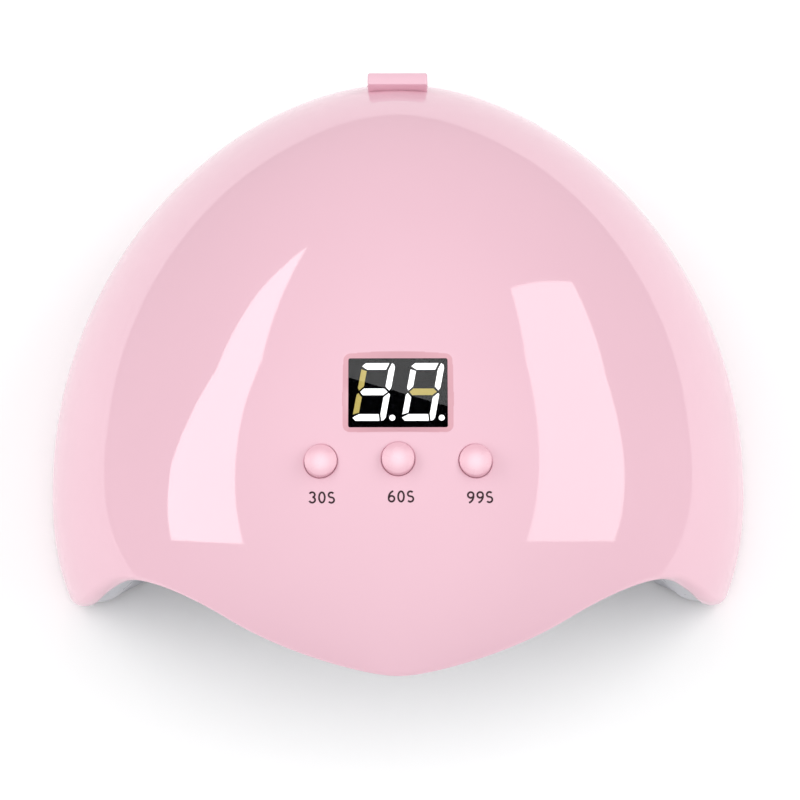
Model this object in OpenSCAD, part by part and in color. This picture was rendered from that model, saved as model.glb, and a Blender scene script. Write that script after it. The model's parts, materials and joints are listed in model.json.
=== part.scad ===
// Desk-top UV LED nail lamp: domed cover with a visor, hand cavity, timer display and three buttons.
// Front is -Y, up is +Z, and z = 0 is the underside of the rubber feet.

/* [Cover] */

// overall width of the dome
cover_w = 186; // [180:1:190]
// height of the crown above the table
cover_h = 77; // [75:0.5:79]
// wall thickness of the cover
wall = 2.4; // [2.2:0.1:2.6]
// height of the level front edge of the visor
lip_z = 45.3; // [44:0.1:47]

/* [Cavity] */

// half the inner width of the hand cavity at the table
cavity_half_w = 64; // [62:0.5:65]
// ceiling height of the hand cavity
cavity_h = 39.5; // [38:0.5:40]
// wall thickness of the liner
liner_t = 2; // [1.8:0.1:2.2]

/* [Display] */

// visible width of the display window
window_w = 24.3; // [23.5:0.1:25]
// visible height of the display window
window_h = 17.7; // [17:0.1:18.5]
// depth of the display pocket below the crown surface
pocket_depth = 1.7; // [1.5:0.1:2]

/* [Buttons] */

// radius of each button cap
button_r = 4; // [3.6:0.1:4.2]
// distance between neighbouring buttons
button_pitch = 18.8; // [18:0.1:20]
// height of each button cap above the cover
button_proud = 2.3; // [1.8:0.1:2.6]
// radial gap between a cap and its guide
button_gap = 0.06; // [0.04:0.01:0.09]

/* [DC inlet] */

// radius of the centre pin
jack_pin_r = 1; // [0.9:0.05:1.1]
// height of the inlet axis
jack_z = 43.8; // [43.4:0.1:43.9]

/* [Part] */

// name of the sub-part to build

/* [Hidden] */

$fn = 48;

eps = 0.01;
seat_gap = 0.02;                     // air left between faces that seat on each other

// Dome shape: every cross-section at a fixed y is one superelliptic arch.
base_z = 1.2;                        // lower rim of the cover and of the liner
half_w = cover_w / 2;
back_len = 109.2;                    // from the widest section to the back
front_len = 76.4;                    // from the widest section to the front of the plan outline
crest_len = 92.4;                    // from the widest section to where the crest would reach the base
arch_n = 1.91;
plan_n_back = 1.95;
plan_n_front = 2.51;
crest_n_back = 2.29;
crest_n_front = 1.95;
visor_reach = crest_len * rise((lip_z - base_z) / (cover_h - base_z), crest_n_front);
mid_y = (visor_reach - back_len) / 2;  // moves the widest section so that the box is centred on y
sections_front = 13;
sections_back = 15;
arch_steps = 26;

// Side profile of the mouth, measured from the widest section.
lip_y = -43.4;                       // upright part of the front edge
heel_r = 34.4;                       // heel curve under the upright part
heel_z = 20;
lip_corner_r = 15;                   // curve between the upright part and the visor

// Cavity shape
cavity_y = -30;                      // where the straight cavity starts
cavity_len = 116;
cavity_arch_n = 2.6;
cavity_plan_n = 4;
rim_w = 6;                           // flat rim inside the lip
liner_gap = 0.3;                     // between the cover's inner skin and the liner
liner_recess = 0.8;                  // how far the liner sits behind the cover's edge
lip_steps = 13;                      // per side
tunnel_steps = 9;
flange_t = 2.2;

// Control panel frame: origin on the crown at the window's centre, +Z out of the cover.
panel_y = -10.7;
panel_tilt = 7;
bezel_slope = 1.6;                   // width of the sloped bezel on each side
bezel_drop = 1.3;                    // depth over which the bezel slopes
window_t = 1;
module_w = 25.1;
module_h = 19;
module_t = 8;
module_gap = 0.2;
frame_t = 2;
frame_drop = 6;                      // underside of the frame around the display
board_top = -12.5;
board_t = 1.6;
board_half_w = 31;
board_front = -24;
board_back = 17;
button_y = -17;
guide_bottom = -7.1;
guide_wall = 1.5;
button_travel = 0.4;
flange_r = 5;
button_flange_t = 0.5;
stem_r = 1.6;
switch_w = 6;
switch_h = 3.5;
plunger_r = 1.75;
plunger_top = -8.2;
pillar_r = 3;
pillars = [[-27.5, -20.5], [27.5, -20.5], [-27.5, 13], [27.5, 13]];
connectors = [[10, 12], [-24, -2], [24, 4], [-14, -1], [0, 1]];  // inlet, left, right, rear, top
plug_level = board_top - board_t - 6;
plug_in = 0.5;                       // how far the leads reach into their connectors
screw_r = 0.9;
screw_head_r = 1.9;

// Liner screws and feet, as x and y from the widest section
posts = [[-79, -15], [79, -15], [-34, 91], [34, 91]];
post_r = 3.6;
post_h = 14;
post_screw_r = 1.5;
post_head_r = 2.7;
rib_t = 1.6;                         // ribs between the posts and the cover
rib_top = 14;
foot_r = 5.5;

// LED boards: [length, width, LED positions, screw positions]
led_side = [74, 16, [[-30, 0], [-15, 0], [0, 0], [15, 0], [30, 0]], [[-22.5, 4.5], [22.5, 4.5]]];
led_top = [54, 60, [[-16, -24], [16, -24], [-16, 0], [16, 0], [-16, 24], [16, 24]], [[0, -24], [0, 24]]];
led_rear = [46, 14, [[-14, 0], [14, 0]], [[-4, 0], [4, 0]]];
led_board_t = 1.6;
led_chip_w = 3.8;
lens_r = 3.6;
lens_bore_r = 2.8;
lens_flange_r = 4.4;
lens_hole_gap = 0.3;
side_origin = [66.5, 10, 21];
side_tilt = 20;
top_origin = [0, 16, 44.6];
rear_origin = [0, 89.5, 16];
sensor_origin = [0, -23.5, 44.6];
sensor_pitch = 10;

// Inlet block on the back of the dome, measured from the widest section
block_half_w = 8.05;
block_front = 91.1;
block_back = 94.8;
block_top = 51.6;
block_base = 36.6;
recess_base = 38.6;
jack_w = 9;
jack_len = 12;
jack_bore_r = 3.1;
jack_hole_r = 3.2;
jack_h = 8.2;
jack_wall = 2;
jack_face = block_back - jack_wall - 0.05;
pin_len = 8.8;                       // free length of the centre pin
pin_shank_r = 0.8;                   // thinner part held in the body
tag_len = 3;
tag_x = 3.2;

// Colours
pink = [0.96, 0.74, 0.80];
pale_grey = [0.80, 0.80, 0.83];
black = [0.08, 0.08, 0.09];
board_green = [0.05, 0.32, 0.16];
board_white = [0.93, 0.93, 0.90];
steel = [0.75, 0.76, 0.78];
led_yellow = [0.93, 0.85, 0.35];
clear_blue = [0.80, 0.85, 0.95];

// ---------- shape functions ----------

function rise(u, n) = pow(max(0, 1 - pow(max(0, u), n)), 1 / n);
function plan_half(y, d) = (half_w - d) * (y < 0
    ? rise(min(1, -y / (front_len - d)), plan_n_front)
    : rise(min(1, y / (back_len - d)), plan_n_back));
function crest(y, d, z0) = z0 + (cover_h - d - z0) * (y < 0
    ? rise(min(1, -y / (crest_len - d)), crest_n_front)
    : rise(min(1, y / (back_len - d)), crest_n_back));
function arch_x(c, n) = sign(c) * pow(abs(c), 2 / n);
function dome_point(y, a, d, z0) = [
    plan_half(y, d) * arch_x(cos(a), arch_n),
    y,
    z0 + (crest(y, d, z0) - z0) * pow(sin(a), 2 / arch_n)
];
function skin_z(x, y, d) = base_z + (crest(y, d, base_z) - base_z)
    * rise(min(1, abs(x) / plan_half(y, d)), arch_n);
function skin_x(y, z, d) = plan_half(y, d)
    * rise(min(1, (z - base_z) / (crest(y, d, base_z) - base_z)), arch_n);

panel_z = skin_z(0, panel_y, 0);
// height of a skin over the panel frame's own x-y plane
function panel_skin(x, v, d) = (skin_z(x, panel_y + v * cos(panel_tilt), d)
    - panel_z - v * sin(panel_tilt)) * cos(panel_tilt);

// Mouth edge from the foot (t = 0) over the corner to the visor tip (t = 1), moved back by e.
function heel_angle() = asin((heel_z - base_z) / heel_r);
function visor_tip(z, d) = -(crest_len - d)
    * rise((z - base_z) / (cover_h - d - base_z), crest_n_front);
function lip_side(t, e, d) =
    t < 0.2 ? [
        lip_y + heel_r - (heel_r - e) * cos(heel_angle() * (1 - t / 0.2)),
        heel_z - (heel_z - base_z) * (1 - t / 0.2)
    ] :
    t < 0.3 ? [lip_y + e, heel_z + (lip_z - lip_corner_r - heel_z) * (t - 0.2) / 0.1] :
    t < 0.5 ? [
        lip_y - lip_corner_r + (lip_corner_r + e) * cos(450 * (t - 0.3)),
        lip_z - lip_corner_r + (lip_corner_r + e) * sin(450 * (t - 0.3))
    ] :
    [
        lip_y - lip_corner_r + (visor_tip(lip_z + e, d) - lip_y + lip_corner_r) * sin(180 * (t - 0.5)),
        lip_z + e
    ];
function lip_point(t, e, d) = let (p = lip_side(t, e, d)) [t < 1 ? skin_x(p[0], p[1], d) : 0, p[0], p[1]];

// Cavity arch at y, grown outwards by g
function cavity_k(y, g) = rise(min(1, max(0, (y - cavity_y) / (cavity_len + g))), cavity_plan_n);
function cavity_point(y, a, g) = [
    (cavity_half_w + g) * cavity_k(y, g) * arch_x(cos(a), cavity_arch_n),
    y,
    base_z + (cavity_h + g - base_z) * cavity_k(y, g) * pow(sin(a), 2 / cavity_arch_n)
];

// ---------- meshes on a grid of rows and columns ----------

function mirror_row(half) = concat(half, [for (k = [len(half) - 2:-1:0]) [-half[k][0], half[k][1], half[k][2]]]);
function grid_faces(rows, cols, start, flip) = [
    for (i = [0:rows - 2], j = [0:cols - 2], k = [0, 1])
    let (
        p = start + i * cols + j,
        q = start + (i + 1) * cols + j,
        f = k == 0 ? [p, p + 1, q + 1] : [p, q + 1, q]
    ) flip ? [f[2], f[1], f[0]] : f
];

module closed_dome(d, z0) {
    ys = concat(
        [for (i = [0:sections_front - 1]) -(front_len - d - 0.05) * cos(90 * i / sections_front)],
        [for (i = [0:sections_back]) (back_len - d) * sin(89 * i / sections_back)]
    );
    rows = len(ys);
    cols = arch_steps + 1;
    points = [for (y = ys, j = [0:arch_steps]) dome_point(y, 180 * j / arch_steps, d, z0)];
    front = [for (j = [arch_steps:-1:0]) j];
    back = [for (j = [0:arch_steps]) (rows - 1) * cols + j];
    under = concat(
        [for (i = [0:rows - 1]) i * cols],
        [for (i = [rows - 1:-1:0]) i * cols + arch_steps]
    );
    polyhedron(points, concat(grid_faces(rows, cols, 0, false), [front, back, under]), convexity = 6);
}

module liner_skin() {
    tunnel_ys = [for (i = [0:tunnel_steps]) sin(88.5 * i / tunnel_steps)];
    edge = wall + liner_gap;
    mouth = [for (k = [0:lip_steps]) k / lip_steps];
    lip_in = [for (t = mouth) lip_point(t, liner_recess, edge)];
    lip_out = [for (t = mouth) lip_point(t, liner_recess + liner_t, edge)];
    rim_in = [for (k = [0:lip_steps]) lip_in[k] + rim_w * [-cos(90 * mouth[k]), sin(90 * mouth[k]), 0]];
    rim_out = [for (k = [0:lip_steps]) rim_in[k] + liner_t * [0, cos(90 * mouth[k]), sin(90 * mouth[k])]];
    inner = concat(
        mirror_row(lip_in), mirror_row(rim_in),
        [for (s = tunnel_ys, t = mouth_angles()) cavity_point(cavity_y + s * cavity_len, t, 0)]
    );
    outer = concat(
        mirror_row(lip_out), mirror_row(rim_out),
        [for (s = tunnel_ys, t = mouth_angles()) cavity_point(cavity_y + liner_t * (1 - s) + s * (cavity_len + liner_t), t, liner_t)]
    );
    cols = 2 * lip_steps + 1;
    rows = tunnel_steps + 3;
    count = rows * cols;
    last = count - cols;
    edges = concat(
        [for (j = [0:cols - 2], k = [0, 1]) k == 0 ? [j, count + j + 1, count + j] : [j, j + 1, count + j + 1]],
        [for (i = [0:rows - 2], k = [0, 1]) let (p = i * cols, q = p + cols)
            k == 0 ? [p, count + p, count + q] : [p, count + q, q]],
        [for (i = [0:rows - 2], k = [0, 1]) let (p = (i + 1) * cols - 1, q = p + cols)
            k == 0 ? [p, count + q, count + p] : [p, q, count + q]],
        [[last, count + last, 2 * count - 1], [last, 2 * count - 1, count - 1]]
    );
    caps = [
        [for (j = [cols - 1:-1:0]) last + j],
        [for (j = [0:cols - 1]) count + last + j]
    ];
    polyhedron(
        concat(inner, outer),
        concat(grid_faces(rows, cols, 0, true), grid_faces(rows, cols, count, false), edges, caps),
        convexity = 8
    );
}

function mouth_angles() = [for (k = [0:2 * lip_steps]) 180 * k / (2 * lip_steps)];

// Round lead swept along its route with eight sides
function unit(v) = v / norm(v);
function lead_side(dir) = abs(dir[2]) > 0.9 ? unit(cross(dir, [1, 0, 0])) : unit(cross(dir, [0, 0, 1]));
function bezier(p, t) = pow(1 - t, 3) * p[0] + 3 * t * pow(1 - t, 2) * p[1]
    + 3 * t * t * (1 - t) * p[2] + pow(t, 3) * p[3];

module lead(route, r, rings) {
    sides = 8;
    path = [for (i = [0:rings]) bezier(route, i / rings)];
    dirs = [for (i = [0:rings]) unit(path[min(rings, i + 1)] - path[max(0, i - 1)])];
    across = cross(unit(route[3] - route[0]), lead_side(unit(route[3] - route[0])));
    points = [
        for (i = [0:rings], j = [0:sides - 1])
        let (
            u = unit(across - (across * dirs[i]) * dirs[i]),
            w = cross(dirs[i], u)
        ) path[i] + r * (cos(360 * j / sides) * u + sin(360 * j / sides) * w)
    ];
    tube = [
        for (i = [0:rings - 1], j = [0:sides - 1], k = [0, 1])
        let (
            p = i * sides + j,
            q = i * sides + (j + 1) % sides
        ) k == 0 ? [p, p + sides, q + sides] : [p, q + sides, q]
    ];
    ends = [
        [for (j = [0:sides - 1]) j],
        [for (j = [sides - 1:-1:0]) rings * sides + j]
    ];
    polyhedron(points, concat(tube, ends), convexity = 4);
}

// ---------- frames ----------

module from_mid() {
    translate([0, mid_y, 0]) children();
}

module on_panel() {
    translate([0, mid_y + panel_y, panel_z]) rotate([panel_tilt, 0, 0]) children();
}

module on_led(side) {
    if (side == "right") from_mid() translate(side_origin) rotate([0, -90 - side_tilt, 0]) rotate([0, 0, 90]) children();
    if (side == "left") mirror([1, 0, 0]) from_mid() translate(side_origin) rotate([0, -90 - side_tilt, 0])
        rotate([0, 0, 90]) children();
    if (side == "top") from_mid() translate(top_origin) rotate([180, 0, 0]) children();
    if (side == "rear") from_mid() translate(rear_origin) rotate([90, 0, 0]) children();
}

module at(points) {
    for (p = points) translate([p[0], p[1], 0]) children();
}

module box(x0, x1, y0, y1, z0, z1) {
    translate([x0, y0, z0]) cube([x1 - x0, y1 - y0, z1 - z0]);
}

function led_spec(side) = side == "top" ? led_top : side == "rear" ? led_rear : led_side;
function button_x(k) = k * button_pitch;
function button_top(k) = panel_skin(button_x(k), button_y, 0) + button_proud;

// ---------- cover ----------

module mouth_cut() {
    far = 130;
    rotate([90, 0, 90]) linear_extrude(2 * far, center = true) {
        difference() {
            translate([-far, -far]) square([far + lip_y, far + lip_z]);
            difference() {
                translate([lip_y - lip_corner_r, lip_z - lip_corner_r]) square(lip_corner_r + eps);
                translate([lip_y - lip_corner_r, lip_z - lip_corner_r]) circle(lip_corner_r, $fn = 96);
            }
        }
        difference() {
            translate([lip_y - eps, -far]) square([heel_r / 2, far + heel_z]);
            translate([lip_y + heel_r, heel_z]) circle(heel_r, $fn = 128);
        }
    }
}

module pocket_cut() {
    top = 3;
    grow = bezel_slope / bezel_drop * (top + pocket_depth);
    hull() {
        translate([0, 0, -pocket_depth]) linear_extrude(eps) square([window_w, window_h], center = true);
        translate([0, 0, top]) linear_extrude(eps) square([window_w + 2 * grow, window_h + 2 * grow], center = true);
    }
    translate([0, 0, -pocket_depth]) linear_extrude(20, center = true) square([window_w, window_h], center = true);
    clear_w = module_w + 2 * module_gap;
    clear_h = module_h + 2 * module_gap;
    box(-clear_w / 2, clear_w / 2, -clear_h / 2, clear_h / 2, -20, -pocket_depth - window_t);
}

module panel_fittings() {
    outer_w = module_w + 2 * module_gap + 2 * frame_t;
    outer_h = module_h + 2 * module_gap + 2 * frame_t;
    box(-outer_w / 2, outer_w / 2, -outer_h / 2, outer_h / 2, -frame_drop, -pocket_depth - 0.8);
    for (k = [-1:1]) {
        translate([button_x(k), button_y, guide_bottom])
            cylinder(r = button_r + button_gap + guide_wall, h = panel_skin(button_x(k), button_y, 0) - 1.8 - guide_bottom);
    }
    for (p = pillars) translate([p[0], p[1], board_top + seat_gap])
        cylinder(r = pillar_r, h = panel_skin(p[0], p[1], 0) - 1.6 - board_top);
}

module inlet_block() {
    corner = 0.7;
    translate([0, 0, block_base]) linear_extrude(block_top - block_base) {
        translate([-block_half_w, block_front]) square([2 * block_half_w, block_back - block_front - corner]);
        translate([-block_half_w + corner, block_front])
            square([2 * (block_half_w - corner), block_back - block_front]);
        for (s = [-1, 1]) translate([s * (block_half_w - corner), block_back - corner]) circle(corner, $fn = 24);
    }
    box(-9.5, 9.5, 82, block_front + eps, block_base, 45);
    box(-9.5, 9.5, block_front, 96, block_base, recess_base + 1.2);
    box(-9.5, 9.5, block_front, 98, block_base, recess_base);
}

module inlet_cuts() {
    box(-block_half_w, block_half_w, block_back, 130, recess_base, 70);
    box(-jack_w / 2 - 0.3, jack_w / 2 + 0.3, 70, block_back - jack_wall, jack_z - jack_h / 2 - 0.3, jack_z + jack_h / 2 + 0.3);
    translate([0, block_back + 1, jack_z]) rotate([90, 0, 0]) cylinder(r = jack_hole_r, h = jack_wall + 2);
}

module cover_posts() {
    for (p = posts) {
        translate([p[0], p[1], base_z + 3.9]) cylinder(r = post_r, h = post_h);
        if (abs(p[0]) > 50) {
            mirror([p[0] < 0 ? 1 : 0, 0, 0])
                box(abs(p[0]), half_w - 3, p[1] - rib_t / 2, p[1] + rib_t / 2, base_z + 3.9, rib_top);
        } else {
            box(p[0] - rib_t / 2, p[0] + rib_t / 2, p[1], back_len - 10.6, base_z + 3.9, rib_top);
        }
    }
}

module top_cover() {
    color(pink) difference() {
        union() {
            from_mid() {
                difference() {
                    closed_dome(0, base_z);
                    closed_dome(wall, base_z - 1);
                }
                inlet_block();
                cover_posts();
            }
            on_panel() panel_fittings();
        }
        from_mid() {
            mouth_cut();
            inlet_cuts();
            for (p = posts) translate([p[0], p[1], 0]) cylinder(r = post_screw_r + 0.05, h = base_z + 3.9 + 10);
        }
        on_panel() {
            pocket_cut();
            for (k = [-1:1]) translate([button_x(k), button_y, -20]) cylinder(r = button_r + button_gap, h = 30);
            for (p = pillars) translate([p[0], p[1], board_top - 1]) cylinder(r = screw_r + 0.05, h = 6);
        }
    }
}

// ---------- liner ----------

module base_flange() {
    d = wall + liner_gap;
    front_y = lip_y + heel_r - (heel_r - liner_recess) * cos(heel_angle()) + 0.5;
    rim_x = skin_x(front_y, base_z, d) - rim_w;
    outline = concat(
        [for (i = [0:10]) let (y = front_y + (0 - front_y) * i / 10) [plan_half(y, d), y]],
        [for (i = [1:18]) let (y = (back_len - d) * sin(5 * i)) [i < 18 ? plan_half(y, d) : 0, y]]
    );
    hole = [for (i = [0:18]) let (y = cavity_y + (cavity_len + 1) * sin(5 * i)) [(cavity_half_w + 1) * cavity_k(y, 1), y]];
    translate([0, 0, base_z]) linear_extrude(flange_t) for (s = [0, 1]) mirror([s, 0]) difference() {
        polygon(concat([[-eps, front_y]], outline, [[-eps, back_len - d]]));
        polygon(concat([[-1, cavity_y - 20]], [[rim_x, front_y - 1], [rim_x, front_y], [cavity_half_w + 1, cavity_y]], hole, [[-1, cavity_y + cavity_len + 1]]));
    }
}

module lens_holes(side) {
    on_led(side) at(led_spec(side)[2]) cylinder(r = lens_r + lens_hole_gap, h = 20);
}

module led_posts(side) {
    reach = side == "rear" ? 3.5 : side == "top" ? 5 : 6;
    on_led(side) at(led_spec(side)[3]) translate([0, 0, seat_gap]) difference() {
        cylinder(r = 2.4, h = reach);
        translate([0, 0, -1]) cylinder(r = screw_r + 0.05, h = 4.4);
    }
}

module inner_liner() {
    color(pale_grey) difference() {
        union() {
            from_mid() {
                liner_skin();
                base_flange();
                for (p = posts) translate([p[0], p[1], base_z]) cylinder(r = foot_r, h = 3.8);
            }
            led_posts("left");
            led_posts("right");
            led_posts("top");
            led_posts("rear");
            from_mid() translate([0, sensor_origin[1] + 2.6, cavity_h + 1]) cylinder(r = 2, h = sensor_origin[2] - cavity_h - 1 - seat_gap);
        }
        for (side = ["left", "right", "top", "rear"]) lens_holes(side);
        from_mid() {
            for (p = posts) translate([p[0], p[1], 0]) {
                cylinder(r = post_screw_r + 0.2, h = 10);
                cylinder(r = post_head_r + 0.3, h = base_z + 2);
            }
            for (s = [-1, 1]) translate([s * sensor_pitch / 2, sensor_origin[1], cavity_h - 5]) cylinder(r = 1.8, h = 8);
        }
    }
}

module liner_screws() {
    color(steel) from_mid() for (p = posts) translate([p[0], p[1], base_z]) difference() {
        union() {
            translate([0, 0, 0.35]) cylinder(r = post_head_r, h = 1.6);
            translate([0, 0, 1.9]) cylinder(r = post_screw_r, h = 9);
        }
        box(-1.6, 1.6, -0.3, 0.3, 0, 1.1);
        box(-0.3, 0.3, -1.6, 1.6, 0, 1.1);
    }
}

module rubber_feet() {
    color(black) from_mid() for (p = posts) translate([p[0], p[1], 0]) {
        cylinder(r1 = foot_r - 0.3, r2 = foot_r, h = 0.3);
        translate([0, 0, 0.3]) cylinder(r = foot_r, h = base_z - 0.3 - seat_gap);
    }
}

// ---------- control panel ----------

module display_window() {
    color(black) on_panel() translate([0, 0, -pocket_depth - window_t + seat_gap])
        linear_extrude(window_t - seat_gap) square([window_w - 0.2, window_h - 0.2], center = true);
}

module display_module() {
    color([0.15, 0.15, 0.16]) on_panel() {
        top = -pocket_depth - window_t - seat_gap;
        box(-module_w / 2, module_w / 2, -module_h / 2, module_h / 2, top - module_t, top);
        for (i = [-2:2], s = [-1, 1]) translate([i * 2.54, s * 7.62, board_top - board_t - 1])
            cylinder(r = 0.25, h = top - module_t - board_top + board_t + 1 + eps);
    }
}

module control_board() {
    color(board_green) on_panel() difference() {
        box(-board_half_w, board_half_w, board_front, board_back, board_top - board_t, board_top);
        for (p = pillars) translate([p[0], p[1], board_top - 5]) cylinder(r = screw_r + 0.2, h = 10);
        for (i = [-2:2], s = [-1, 1]) translate([i * 2.54, s * 7.62, board_top - 5]) cylinder(r = 0.4, h = 10);
    }
}

module board_screws() {
    color(steel) on_panel() for (p = pillars) translate([p[0], p[1], board_top - board_t - seat_gap]) difference() {
        union() {
            translate([0, 0, -1.2]) cylinder(r = screw_head_r, h = 1.2);
            translate([0, 0, -0.1]) cylinder(r = screw_r, h = 6);
        }
        box(-1.2, 1.2, -0.25, 0.25, -2, -0.6);
        box(-0.25, 0.25, -1.2, 1.2, -2, -0.6);
    }
}

module under_board(x, y) {
    on_panel() translate([x, y, board_top - board_t - seat_gap]) mirror([0, 0, 1]) children();
}

module mcu_chip() {
    color(black) under_board(-14, 8) {
        box(-6.4, 6.4, -3.75, 3.75, 0.15, 2.4);
        for (i = [-4.5:1:4.5], s = [-1, 1])
            box(i * 1.27 - 0.2, i * 1.27 + 0.2, s == 1 ? 3.7 : -5, s == 1 ? 5 : -3.7, 0, 0.35);
    }
}

module capacitor() {
    color([0.12, 0.14, 0.30]) under_board(20, -8) {
        cylinder(r = 4, h = 9);
        translate([0, 0, 9 - eps]) cylinder(r = 3.4, h = 0.3);
    }
}

module drive_transistors() {
    color(black) for (x = [2, 11]) under_board(x, -16) {
        box(-3.3, 3.3, -3, 3.1, 0, 2.3);
        for (s = [-1, 1]) box(s * 2.3 - 0.4, s * 2.3 + 0.4, -5.6, -2.9, 0.2, 0.7);
        box(-2.6, 2.6, 3, 4.2, 0, 1);
    }
}

module inductor() {
    color([0.25, 0.20, 0.18]) under_board(-16, -14) {
        box(-5, 5, -5, 5, 0, 1.2);
        translate([0, 0, 1]) cylinder(r = 4.2, h = 3.4);
        translate([0, 0, 4.2]) cylinder(r = 4.8, h = 0.8);
    }
}

module board_connectors() {
    color([0.92, 0.90, 0.84]) for (p = connectors) under_board(p[0], p[1]) difference() {
        box(-3, 3, -2.2, 2.2, 0, 6);
        box(-2.2, 2.2, -1.5, 1.5, 1.5, 7);
    }
}

module board_resistors() {
    color(black) for (p = [[-24, 8], [-24, 5], [-24, -9], [16, 14], [21, 14], [12, -3.5], [-2, -6]]) under_board(p[0], p[1])
        box(-1, 1, -0.6, 0.6, 0, 0.5);
}

module switch_body(k) {
    color([0.18, 0.18, 0.19]) on_panel() translate([button_x(k), button_y, board_top + seat_gap]) difference() {
        box(-switch_w / 2, switch_w / 2, -switch_w / 2, switch_w / 2, 0, switch_h);
        translate([0, 0, 1]) cylinder(r = plunger_r + 0.05, h = switch_h);
    }
}

module plunger(k) {
    color([0.75, 0.72, 0.66]) on_panel() translate([button_x(k), button_y, board_top + 1.5 + button_travel])
        cylinder(r = plunger_r, h = plunger_top - board_top - 1.5 - button_travel);
}

module button(k) {
    top = button_top(k);
    crown = 1.3;
    color(pink) on_panel() translate([button_x(k), button_y, 0]) {
        flange_top = guide_bottom - 0.1;
        rotate_extrude() {
            difference() {
                translate([0, top - (button_r * button_r + crown * crown) / (2 * crown)])
                    circle((button_r * button_r + crown * crown) / (2 * crown), $fn = 180);
                translate([-50, -100]) square([50, 200]);
                translate([0, -100]) square([100, 100 + top - crown]);
            }
            translate([0, flange_top - button_flange_t]) square([button_r, top - crown - flange_top + button_flange_t + eps]);
            translate([0, flange_top - button_flange_t]) square([flange_r, button_flange_t]);
            translate([0, plunger_top + seat_gap]) square([stem_r, flange_top - plunger_top - seat_gap - eps]);
        }
    }
}

// ---------- LED boards and sensors ----------

module led_board(side) {
    spec = led_spec(side);
    color(board_white) on_led(side) difference() {
        box(-spec[0] / 2, spec[0] / 2, -spec[1] / 2, spec[1] / 2, -led_board_t, 0);
        at(spec[3]) translate([0, 0, -5]) cylinder(r = screw_r + 0.2, h = 10);
    }
}

module led_chips(side) {
    color(led_yellow) on_led(side) at(led_spec(side)[2]) {
        box(-led_chip_w / 2, led_chip_w / 2, -led_chip_w / 2, led_chip_w / 2, seat_gap, 0.9);
        translate([0, 0, 0.9 - eps]) cylinder(r = 1.4, h = 0.3);
    }
}

module led_lenses(side) {
    len_lens = side == "top" ? 7.6 : side == "rear" ? 6.2 : 9.2;
    color(clear_blue) on_led(side) at(led_spec(side)[2]) translate([0, 0, seat_gap]) difference() {
        union() {
            cylinder(r = lens_flange_r, h = 0.8);
            cylinder(r = lens_r, h = len_lens - 2.4);
            translate([0, 0, len_lens - 2.4 - eps]) intersection() {
                translate([0, 0, 2.4 - 4.2]) sphere(4.2);
                cylinder(r = lens_r, h = 5);
            }
        }
        translate([0, 0, -1]) cylinder(r = lens_bore_r, h = 4);
    }
}

module led_board_screws() {
    color(steel) for (side = ["left", "right", "top", "rear"])
        on_led(side) at(led_spec(side)[3]) translate([0, 0, -led_board_t - seat_gap]) difference() {
            union() {
                translate([0, 0, -1.1]) cylinder(r = screw_head_r, h = 1.1);
                translate([0, 0, -0.1]) cylinder(r = screw_r, h = side == "rear" ? 3 : 4.6);
            }
            box(-1.2, 1.2, -0.25, 0.25, -2, -0.6);
        }
}

module sensor_board() {
    color(board_green) from_mid() translate(sensor_origin) {
        box(-9, 9, -4, 4, 0, 1.2);
        box(-2.5, 2.5, 0, 3.6, 1.2 - eps, 4.2);
    }
}

module ir_led(s) {
    from_mid() translate([s * sensor_pitch / 2, sensor_origin[1], cavity_h - 1.2]) {
        sphere(1.5);
        cylinder(r = 1.5, h = sensor_origin[2] - cavity_h + 1.2 - 0.6);
        translate([0, 0, 4.2]) cylinder(r = 2.2, h = sensor_origin[2] - cavity_h + 1.2 - 4.2 - seat_gap);
    }
}

module ir_emitter() {
    color(clear_blue) ir_led(-1);
}

module ir_receiver() {
    color(black) ir_led(1);
}

// ---------- DC inlet ----------

module jack_body() {
    color(black) from_mid() difference() {
        box(-jack_w / 2, jack_w / 2, jack_face - jack_len, jack_face, jack_z - jack_h / 2, jack_z + jack_h / 2);
        translate([0, jack_face + eps, jack_z]) rotate([90, 0, 0]) cylinder(r = jack_bore_r, h = jack_len - 2);
        translate([0, jack_face, jack_z]) rotate([90, 0, 0]) cylinder(r = pin_shank_r + 0.05, h = jack_len + 1);
    }
}

module jack_pin() {
    color(steel) from_mid() translate([0, jack_face - 1, jack_z]) rotate([90, 0, 0]) {
        cylinder(r = jack_pin_r, h = pin_len);
        cylinder(r = pin_shank_r, h = jack_len + 1);
        translate([0, 0, jack_len - 1 + seat_gap]) cylinder(r = 1.9, h = 0.8);
    }
}

module jack_tags() {
    color([0.85, 0.70, 0.35]) from_mid() for (s = [-1, 1])
        translate([s * tag_x, jack_face - jack_len - tag_len, jack_z - 2.5])
            box(-0.3, 0.3, 0, tag_len - seat_gap, -1, 1);
}

function panel_point(x, v, w) = [
    x,
    mid_y + panel_y + v * cos(panel_tilt) - w * sin(panel_tilt),
    panel_z + v * sin(panel_tilt) + w * cos(panel_tilt)
];
module lead_pair(a, b, sag_a, sag_b, r, gap) {
    for (s = [-1, 1]) lead([
        a + [s * gap, 0, 0], a + sag_a + [s * gap, 0, 0], b + sag_b + [s * gap, 0, 0], b + [s * gap, 0, 0]
    ], r, 14);
}

module jack_lead(s) {
    start = [s * tag_x, mid_y + jack_face - jack_len - tag_len - 0.6, jack_z - 2.5];
    end = panel_point(connectors[0][0] + s * 1.2, connectors[0][1], plug_level + plug_in);
    lead([start, start + [0, -10, 14], end + [0, 6, -14], end], 0.8, 16);
}

module jack_lead_red() {
    color([0.75, 0.08, 0.08]) jack_lead(1);
}

module jack_lead_black() {
    color(black) jack_lead(-1);
}

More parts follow.
